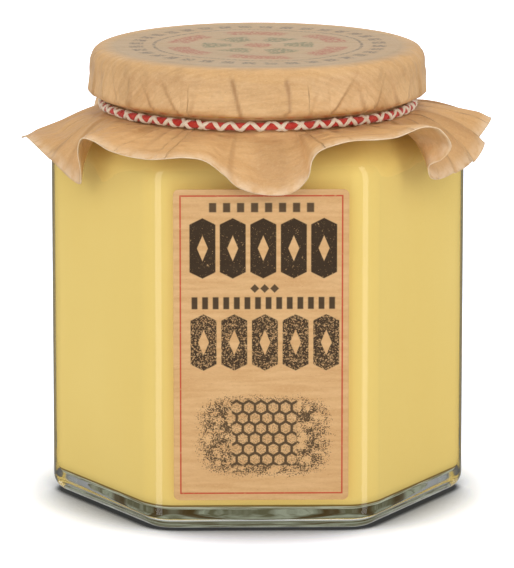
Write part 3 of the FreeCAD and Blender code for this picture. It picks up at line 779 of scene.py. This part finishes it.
def paper_edge_material():
    """The cut edge of the paper, painted paler than its face as a highlight along the rim."""
    shader = Shader("kraft_cut_edge")
    fluff = shader.noise(shader.place(), 700.0, 3.0, 0.7)
    colour = shader.mix(fluff.above(0.5, 0.4), linear(240, 215, 182), linear(222, 190, 148))
    shader.surface(Base_Color=colour, Roughness=0.8, Specular_IOR_Level=0.2,
                   Normal=shader.bump(fluff, 0.3, 0.0001))
    return shader.owner


def cotton_material(name, light, dark, fleck):
    """Cotton yarn: fine threads that lean along the strand, with a little fluff in colour."""
    shader = Shader(name)
    u, v, _ = shader.split(shader.place("UV"))
    threads = (u * 1400 + v * 3).frac().near(0.5, 0.3, 0.3)
    fluff = shader.noise(shader.place(), 2600.0, 3.0, 0.7)
    soft = shader.noise(shader.place(), 420.0, 2.0)
    colour = shader.mix(threads, dark, light)
    colour = shader.mix(soft.above(0.55, 0.2) * 0.35, colour, fleck)
    shader.surface(Base_Color=colour, Roughness=0.85, Specular_IOR_Level=0.2, Sheen_Weight=0.2,
                   Normal=shader.bump(threads * 0.6 + fluff * 0.6, 0.5, 0.00012))
    return shader.owner


def tall_cells(shader, x, z, middle_z, half_height, centres, half_width):
    """Solid upright six-sided marks side by side."""
    total = None
    for centre in centres:
        side, up = abs(x - centre), abs(z - middle_z)
        inside = (1 - side.above(half_width, 0.15)) * (1 - (up + side * 0.5).above(half_height, 0.2))
        hole = (1 - (side + up * 0.42).above(half_width * 0.42, 0.15))
        mark = inside * (1 - hole)
        total = mark if total is None else total.at_least(mark)
    return total


def label_material():
    shader = Shader("printed_label")
    x, y, z = [value * 1000 for value in shader.split(shader.place())]
    drift, ribs, fine, fibre, spots = kraft(shader, x, z, 0.9)
    colour = shader.mix(ribs.above(0.5, 0.35), linear(217, 174, 121), linear(206, 160, 106))
    colour = shader.mix(fine.above(0.56, 0.25) * 0.3, colour, linear(192, 146, 92))
    colour = shader.mix(fibre.above(0.6, 0.2) * 0.3, colour, linear(228, 190, 142))
    colour = shader.mix((1 - spots.above(0.09, 0.06)) * 0.35, colour, linear(160, 112, 68))
    # The thin frame line.
    wide, tall = abs(x - 0.05) - 17.15, abs(z - 40.57) - 32.17
    frame_line = wide.at_least(tall).near(0.0, 0.16, 0.1)
    broken = shader.noise(shader.join(x, z), 1.3, 3.0).above(0.36, 0.1)
    colour = shader.mix(frame_line * (0.55 + 0.35 * broken), colour, linear(190, 56, 34))
    # Rows of marks.
    speck = shader.noise(shader.join(x, z, 7.0), 3.2, 4.0, 0.65)
    grain = shader.noise(shader.join(x, z, 1.0), 1.1, 4.0, 0.7)
    solid = tall_cells(shader, x, z, 61.5, 6.5, (-12.4, -6.0, 0.45, 6.9, 13.3), 2.75)
    solid = solid * (1 - (speck.above(0.66, 0.05)) * 0.8) * (1 - grain.above(0.68, 0.05) * 0.7)
    rough = tall_cells(shader, x, z, 41.2, 6.1, (-12.2, -5.7, 0.8, 7.3, 13.8), 2.75)
    rough = rough * (1 - speck.above(0.56, 0.06) * 0.8) * (1 - grain.above(0.62, 0.06) * 0.6)
    small_x = (x + 11.3) / 2.95
    small = z.near(70.25, 1.0, 0.2) * small_x.frac().near(0.36, 0.26, 0.08) * x.near(0.55, 11.85, 0.1)
    row_x = (x + 15.0) / 2.24
    row = z.near(49.7, 1.3, 0.2) * row_x.frac().near(0.4, 0.28, 0.1) * x.near(0.75, 15.7, 0.1)
    three_x = (x + 2.4) / 2.1
    three = (abs(z - 52.85) + abs(three_x.frac() - 0.5) * 2.1).near(0.0, 0.95, 0.2) * x.near(0.75, 3.1, 0.1)
    marks = solid.at_least(rough).at_least(small * 0.9).at_least(row * 0.95).at_least(three * 0.9)
    colour = shader.mix(marks * 0.96, colour, linear(44, 30, 15))
    # A stippled comb between soft stippled clumps.
    comb = comb_pattern(shader, x, z)
    clump = shader.noise(shader.join(x * 0.42, z * 0.42, 2.0), 1.0, 3.0, 0.6)
    away = (abs(x - 0.7) / 15.8) ** 4.0 + (abs(z - 20.9) / 9.8) ** 4.0
    tone = 0.50 + (clump - 0.5) * 1.1 - (away + (clump - 0.5) * 2.6).above(0.9, 0.9) * 0.5
    stipple = shader.noise(shader.join(x, z, 17.0), 3.4, 2.0, 0.7)
    dots = (tone - stipple).above(0.0, 0.09)
    panel = x.near(0.7, 6.9, 0.3) * z.near(21.6, 7.2, 0.3)
    dark = dots * (1 - panel) + panel * comb
    colour = shader.mix(dark.clamped() * 0.9, colour, linear(56, 40, 22))
    normal = shader.bump(ribs * 0.4 + fine * 0.4 + fibre * 0.2, 0.3, 0.0001)
    shader.surface(Base_Color=colour, Roughness=0.62 - marks * 0.08, Specular_IOR_Level=0.35, Normal=normal)
    return shader.owner


def comb_pattern(shader, x, z):
    """Walls of a honeycomb with stippled cells: two shifted rows of centres, and the nearer one's cell."""
    pitch = 2.6
    rows = pitch * math.sqrt(3)

    def cell(shift):
        across = ((x / pitch + shift).frac() - 0.5) * pitch
        up = ((z / rows + shift).frac() - 0.5) * rows
        return abs(across).at_least(abs(across) * 0.5 + abs(up) * (math.sqrt(3) / 2))

    edge = cell(0.0).at_most(cell(0.5))
    wall = edge.above(pitch / 2 - 0.27, 0.12)
    shade = shader.noise(shader.join(x, z, 11.0), 3.0, 3.0, 0.7).above(0.52, 0.08)
    return (wall + shade * 0.55).clamped()


# ---------------------------------------------------------------- making the jar
glass_piece(glass_material())
honey_piece(honey_material())
cover_piece(paper_material(), paper_edge_material())
cream = cotton_material("cream_cotton", linear(243, 228, 206), linear(214, 188, 158), linear(230, 206, 178))
red = cotton_material("red_cotton", linear(206, 62, 48), linear(166, 38, 32), linear(216, 96, 78))
cream_twine = twine_piece("twine_cream", cream, ((1, 0.0), (-1, 0.0)), 0.74, 0.10, 0.38)
twine_piece("twine_red", red, ((1, 0.0), (1, 2.1), (1, 4.2)), 0.44, 0.0, 0.5)
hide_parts("twine")
label_piece(label_material())
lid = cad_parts["lid"]
lid.data.materials.clear()
lid.data.materials.append(lid_material())

# ---------------------------------------------------------------- camera, floor and light
CAMERA_PLACE = (-0.01980, -1.10643, 0.26525)
CAMERA_TILT, CAMERA_TURN = 78.786, -1.025          # degrees up from straight down, and to the right
CAMERA_LENS, SENSOR_WIDTH = 325.95, 36.0
CAMERA_SHIFT = -0.0013
SHADOW_REACH = 0.03                # how far the floor darkens round the jar, in metres

camera_data = bpy.data.cameras.new("camera")
camera_data.lens, camera_data.sensor_width = CAMERA_LENS, SENSOR_WIDTH
camera_data.shift_x = CAMERA_SHIFT
camera_data.clip_start, camera_data.clip_end = 0.1, 20.0
camera = bpy.data.objects.new("camera", camera_data)
camera.location = CAMERA_PLACE
camera.rotation_euler = Euler((math.radians(CAMERA_TILT), 0.0, math.radians(CAMERA_TURN)))
bpy.context.scene.collection.objects.link(camera)
bpy.context.scene.camera = camera


def floor_piece():
    """A wide level square. To the eye its colour darkens close round whatever stands on it: a painted contact
    shadow.
    """
    side = 3.0
    mesh = bpy.data.meshes.new("floor")
    corners = [(-side, -side, 0), (side, -side, 0), (side, side, 0), (-side, side, 0)]
    mesh.from_pydata(corners, [], [(0, 1, 2, 3)])
    floor = bpy.data.objects.new("floor", mesh)
    bpy.context.scene.collection.objects.link(floor)
    shader = Shader("pale_floor")
    light = shader.node("ShaderNodeLightPath")
    seen = shader.number(light, "Is Camera Ray")
    near = shader.node("ShaderNodeAmbientOcclusion", {"samples": 16}, {"Distance": SHADOW_REACH})
    open_share = ((Number(shader, near.outputs["AO"]) - 0.40) / 0.48).clamped()
    grey = 0.8 * (1 - seen) + seen * (0.06 + open_share * 1.62)
    colour = shader.join(grey * 0.96, grey, grey * 1.08)
    diffuse = shader.node("ShaderNodeBsdfDiffuse", None, {"Color": colour})
    # Painted light: the floor glows weakly for rays through the glass, and for diffuse light where it is
    # shaded under the jar.
    glow = shader.node("ShaderNodeEmission", None, {"Color": (0.95, 1.0, 0.93, 1), "Strength": 0.36})
    under = shader.number(light, "Is Diffuse Ray") * (1 - open_share)
    lit = shader.number(light, "Is Transmission Ray").at_least(under)
    through = shader.node("ShaderNodeMixShader", None, {0: lit, 1: diffuse.outputs[0], 2: glow.outputs[0]})
    shader.finish(through.outputs[0])
    mesh.materials.append(shader.owner)
    floor.visible_glossy = False


def world_light():
    """White behind the jar to the eye, a plain level of fill light, and a dim room in the reflections."""
    world = bpy.data.worlds.new("world")
    bpy.context.scene.world = world
    shader = Shader("world", world)
    light = shader.node("ShaderNodeLightPath")
    seen = shader.number(light, "Is Camera Ray")
    mirrored = shader.number(light, "Is Glossy Ray")
    through = shader.number(light, "Is Transmission Ray")
    x, y, z = shader.split(shader.place("Generated"))
    behind = y.above(0.75, 0.3)
    fill = 0.70 - 0.3 * z.at_least(0.0)
    room = mirrored * (0.12 + 0.35 * behind) + (1 - mirrored) * (0.04 + 0.26 * behind)
    plain = (1 - seen) * (1 - mirrored.at_least(through))
    strength = seen + plain * fill + mirrored.at_least(through) * (1 - seen) * room
    background = shader.node("ShaderNodeBackground", None, {"Color": (1, 1, 1, 1), "Strength": strength})
    shader.finish(background.outputs[0], "ShaderNodeOutputWorld")


def softbox(name, azimuth, distance, height, width, tall, radiance, tilt=90.0, mirrored=False):
    """A rectangular lamp that faces the jar. Azimuth is in degrees to the left of the front.

    Only a mirrored one shows as a highlight in the glass.
    """
    data = bpy.data.lights.new(name, "AREA")
    data.shape, data.size, data.size_y = "RECTANGLE", width, tall
    data.energy = radiance * math.pi * width * tall
    lamp = bpy.data.objects.new(name, data)
    side = math.radians(azimuth)
    lamp.location = (-distance * math.sin(side), -distance * math.cos(side), height)
    lamp.rotation_euler = Euler((math.radians(tilt), 0.0, -side))
    lamp.visible_glossy = mirrored
    bpy.context.scene.collection.objects.link(lamp)


floor_piece()
world_light()
softbox("left_box", 47.0, 1.2, 0.35, 0.44, 1.8, 2.0, mirrored=True)
softbox("left_fill", 47.0, 1.2, 0.35, 0.44, 1.8, 1.9)
softbox("right_box", -54.0, 1.2, 0.35, 0.40, 1.8, 2.0, mirrored=True)
softbox("right_fill", -50.0, 1.2, 0.35, 0.44, 1.8, 1.5)
softbox("front_fill", 0.0, 1.5, 1.1, 1.0, 0.6, 3.0, 57.0)
softbox("back_fill", 180.0, 1.5, 1.1, 1.2, 0.7, 1.5, 57.0)
softbox("top_fill", 180.0, 0.25, 1.3, 0.8, 0.8, 2.4, 12.0)


bpy.context.scene.view_settings.view_transform = "Standard"
